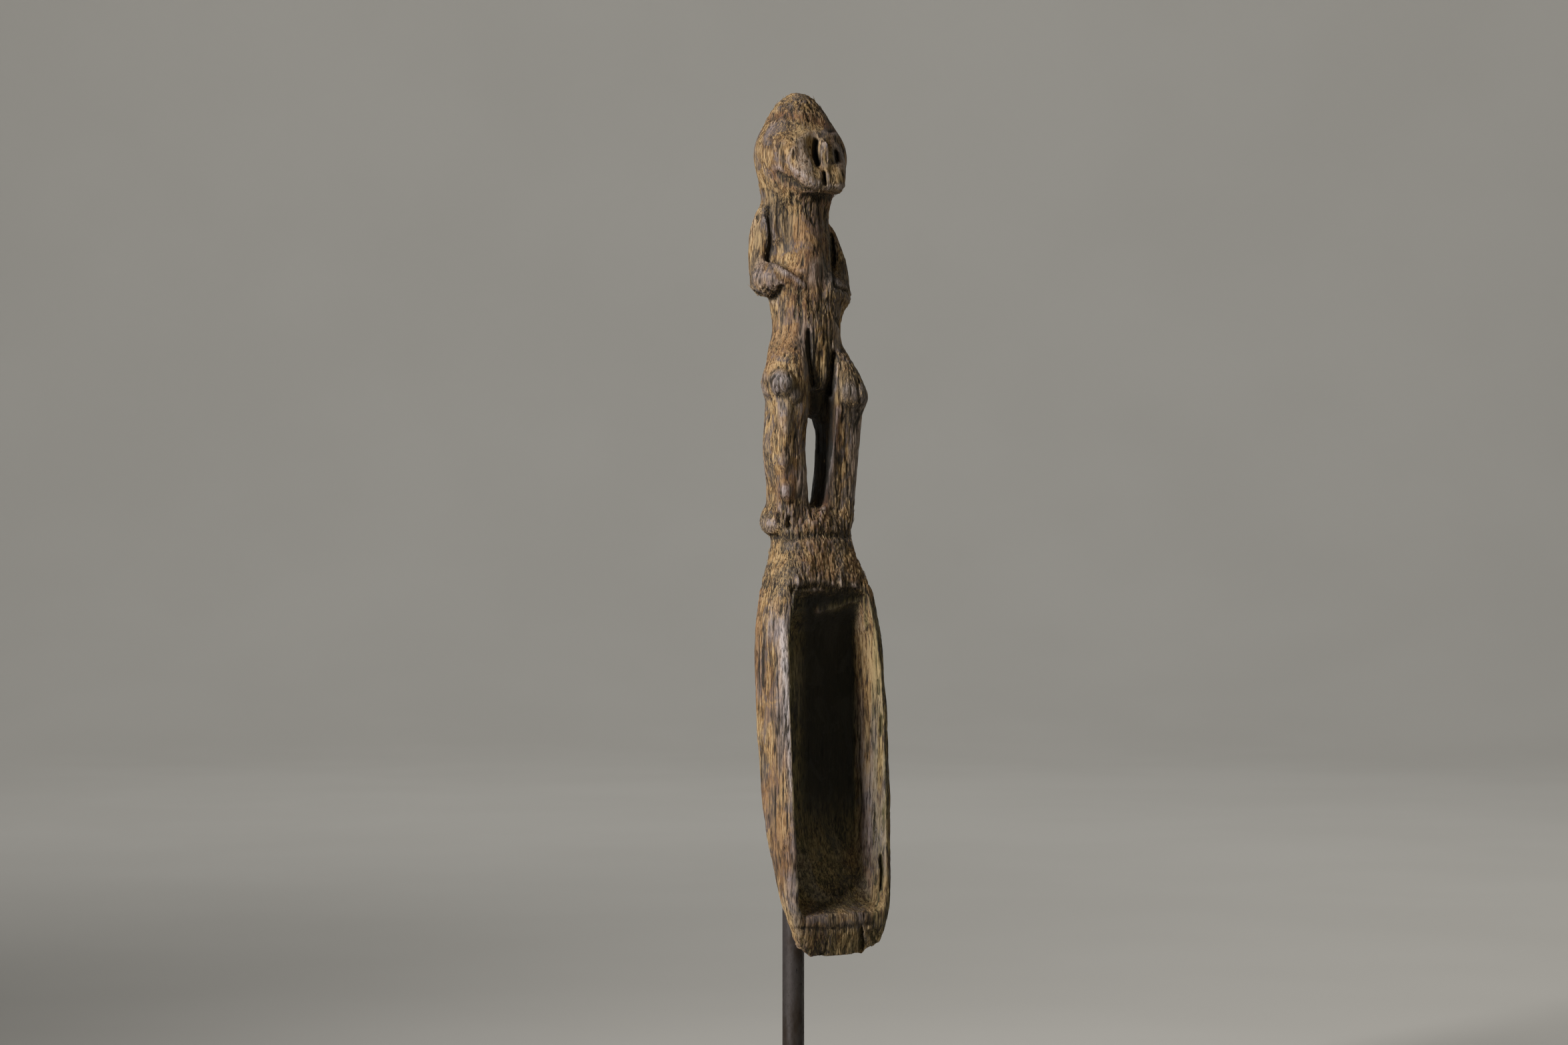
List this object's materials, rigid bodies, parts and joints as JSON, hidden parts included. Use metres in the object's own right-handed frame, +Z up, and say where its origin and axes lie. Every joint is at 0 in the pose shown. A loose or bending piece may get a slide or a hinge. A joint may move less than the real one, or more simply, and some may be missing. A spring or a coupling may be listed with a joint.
{
  "type": "carved wooden bowl on a stand",
  "caption": "Long wooden trough bowl carved in one block with a standing figure above it, held upright by a steel rod that turns in a weighted stand.",
  "frame": {"origin": "centre of the stand's footprint, on the surface the felt pads rest on", "axes": "+Z up along the rod, -Y the way the bowl opens and the figure faces, +X the figure's left hand side"},
  "size_m": [0.11, 0.11, 0.4836],
  "materials": {
    "carved_wood": "deeply weathered, open vertical grain, no varnish",
    "rod_steel": "dark oiled, pitted",
    "saddle_brass": "dull",
    "base_paint": "satin black",
    "fitting_steel": "dark satin",
    "pad_felt": "felt"
  },
  "bodies": {
    "stand": {"base_plate": "base_paint", "rod_socket": "fitting_steel", "socket_washer": "fitting_steel", "socket_nut": "fitting_steel", "foot_pad_front_left": "pad_felt", "foot_pad_front_right": "pad_felt", "foot_pad_back_left": "pad_felt", "foot_pad_back_right": "pad_felt"},
    "bowl_on_rod": {"carved_bowl": "carved_wood", "stand_rod": "rod_steel", "saddle_plate": "saddle_brass", "saddle_screw_left": "saddle_brass", "saddle_screw_right": "saddle_brass"},
    "clamp": {"thumb_screw": "fitting_steel"}
  },
  "joints": [
    {"name": "rod_turn", "type": "hinge", "parent": "stand", "child": "bowl_on_rod", "pos_m": [0, 0.02, 0.03], "axis": [0, 0, 1], "continuous": true},
    {"name": "thumb_screw_turn", "type": "hinge", "parent": "stand", "child": "clamp", "pos_m": [0, 0.04, 0.0326], "axis": [0, 1, 0], "range_deg": [0, 360]}
  ]
}
